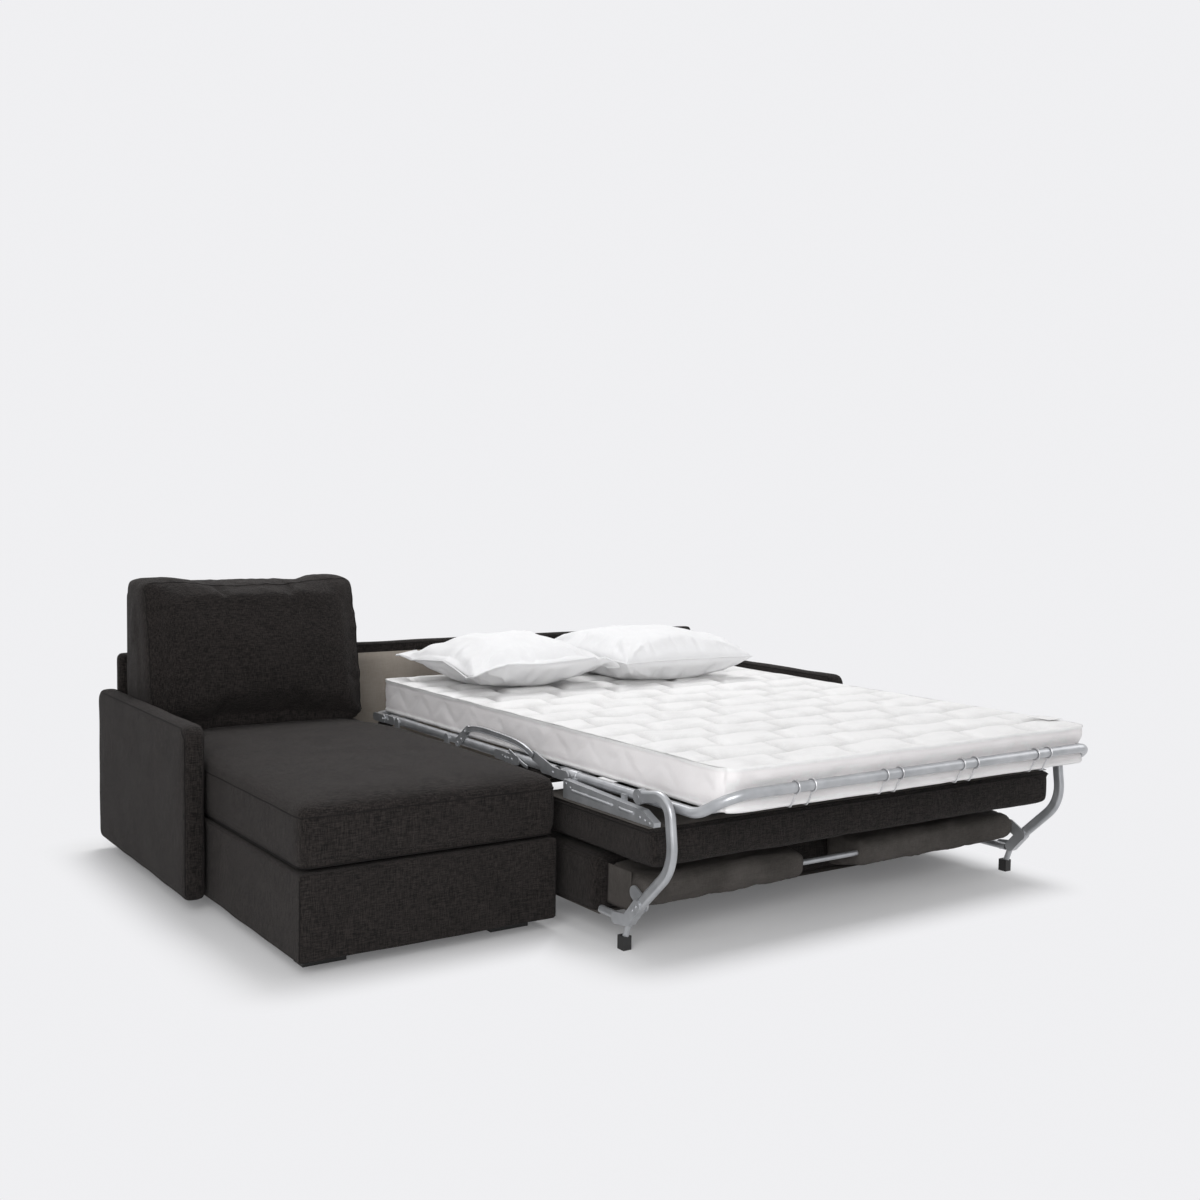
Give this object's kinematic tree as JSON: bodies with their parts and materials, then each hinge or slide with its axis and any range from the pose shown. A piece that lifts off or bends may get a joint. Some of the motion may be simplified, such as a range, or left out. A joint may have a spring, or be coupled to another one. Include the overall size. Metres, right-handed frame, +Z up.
{
  "type": "corner sofa bed",
  "caption": "Corner sofa bed with a chaise on the left and a fold-out bed: hinged tube sections with a mattress, and a seat and backrest that travel under it.",
  "frame": {"origin": "on the floor, at the centre of the opened sofa bed's bounding box", "axes": "+X to the right seen from the front, +Y to the back of the sofa, +Z up"},
  "size_m": [2.514, 2.1433, 0.9103],
  "materials": {
    "beige_lining": "matt",
    "black_plastic": "matt",
    "black_rubber": "matt",
    "bright_wire": "satin",
    "charcoal_fabric": "matt woven",
    "grey_lining": "matt non-woven",
    "grey_painted_steel": "satin",
    "mattress_ticking": "quilted matt",
    "pillow_cotton": "matt",
    "wood_board": "raw"
  },
  "bodies": {
    "sofa_frame": {"arm_feet": "black_plastic", "back_board": "wood_board", "back_cover": "charcoal_fabric", "back_lining": "beige_lining", "base_cross_tubes": "grey_painted_steel", "base_pivot_pins": "bright_wire", "base_plate_spacers": "grey_painted_steel", "base_plates": "grey_painted_steel", "chaise_back_cushion": "charcoal_fabric", "chaise_base_cover": "charcoal_fabric", "chaise_deck": "wood_board", "chaise_feet": "black_plastic", "chaise_panel_front": "wood_board", "chaise_panel_rear": "wood_board", "chaise_seat_cushion": "charcoal_fabric", "chaise_side_panels": "wood_board", "left_arm_core": "wood_board", "left_arm_cover": "charcoal_fabric", "right_arm_core": "wood_board", "right_arm_cover": "charcoal_fabric"},
    "front_lift": {"front_lift_arms": "grey_painted_steel"},
    "rear_lift": {"rear_lift_arms": "grey_painted_steel"},
    "mid_section": {"mattress_mid": "mattress_ticking", "mid_cross_tubes": "grey_painted_steel", "mid_lift_brackets": "grey_painted_steel", "mid_rail_left": "grey_painted_steel", "mid_rail_right": "grey_painted_steel", "mid_wires": "bright_wire", "pillow_left": "pillow_cotton", "pillow_right": "pillow_cotton"},
    "bend_section": {"bend_cross_tubes": "grey_painted_steel", "bend_rail_left": "grey_painted_steel", "bend_rail_right": "grey_painted_steel", "bend_wires": "bright_wire", "front_apron": "charcoal_fabric", "mattress_bend": "mattress_ticking"},
    "foot_section": {"foot_cross_tubes": "grey_painted_steel", "foot_frame": "grey_painted_steel", "foot_wires": "bright_wire", "front_rail_hooks": "bright_wire", "mattress_foot": "mattress_ticking", "seat_bearer_left": "grey_painted_steel", "seat_bearer_right": "grey_painted_steel", "seat_board": "wood_board", "seat_cushion": "charcoal_fabric", "seat_lining": "grey_lining"},
    "backrest": {"back_cross_tube": "grey_painted_steel", "back_cushion": "charcoal_fabric", "backrest_board": "wood_board", "backrest_lining": "grey_lining", "backrest_side_tubes": "grey_painted_steel", "backrest_sleeve_left": "grey_lining", "backrest_sleeve_right": "grey_lining", "leg_left": "grey_painted_steel", "leg_right": "grey_painted_steel", "leg_rubber_feet": "black_rubber"},
    "head_section": {"head_frame": "grey_painted_steel", "mattress_head": "mattress_ticking"},
    "fold_struts": {"fold_strut_left": "grey_painted_steel", "fold_strut_right": "grey_painted_steel"}
  },
  "joints": [
    {"name": "lift_front", "type": "hinge", "parent": "sofa_frame", "child": "front_lift", "pos_m": [0.38, 0.19151, 0.09076], "axis": [-1, 0, 0], "range_deg": [0, 76.46]},
    {"name": "lift_rear", "type": "hinge", "parent": "sofa_frame", "child": "rear_lift", "pos_m": [0.38, 0.55151, 0.09076], "axis": [-1, 0, 0], "range_deg": [0, 76.46]},
    {"name": "mid_level", "type": "hinge", "parent": "front_lift", "child": "mid_section", "pos_m": [0.38, 0.32365, 0.38], "axis": [1, 0, 0], "range_deg": [0, 76.46]},
    {"name": "bend_fold", "type": "hinge", "parent": "mid_section", "child": "bend_section", "pos_m": [0.38, -0.06135, 0.405], "axis": [-1, 0, 0], "range_deg": [0, 90], "deforming": ["mattress_bend", "pillow_left", "pillow_right"]},
    {"name": "foot_fold", "type": "hinge", "parent": "bend_section", "child": "foot_section", "pos_m": [0.38, -0.32635, 0.405], "axis": [-1, 0, 0], "range_deg": [0, 90]},
    {"name": "back_fold", "type": "hinge", "parent": "foot_section", "child": "backrest", "pos_m": [0.38, -0.76035, 0.417], "axis": [-1, 0, 0], "range_deg": [0, 90]},
    {"name": "head_fold", "type": "hinge", "parent": "mid_section", "child": "head_section", "pos_m": [0.38, 0.77865, 0.405], "axis": [1, 0, 0], "range_deg": [0, 90], "deforming": ["mattress_head"]},
    {"name": "strut_turn", "type": "hinge", "parent": "mid_section", "child": "fold_struts", "pos_m": [0.38, 0.17365, 0.452], "axis": [-1, 0, 0], "range_deg": [0, 31.2]}
  ],
  "couplings": [
    {"joint": "lift_rear", "follows": "lift_front", "ratio": 1},
    {"joint": "mid_level", "follows": "lift_front", "ratio": 1},
    {"joint": "bend_fold", "follows": "lift_front", "ratio": 1.1771},
    {"joint": "foot_fold", "follows": "lift_front", "ratio": 1.1771},
    {"joint": "back_fold", "follows": "lift_front", "ratio": 1.1771},
    {"joint": "head_fold", "follows": "lift_front", "ratio": 1.1771},
    {"joint": "strut_turn", "follows": "lift_front", "ratio": 0.40806}
  ]
}
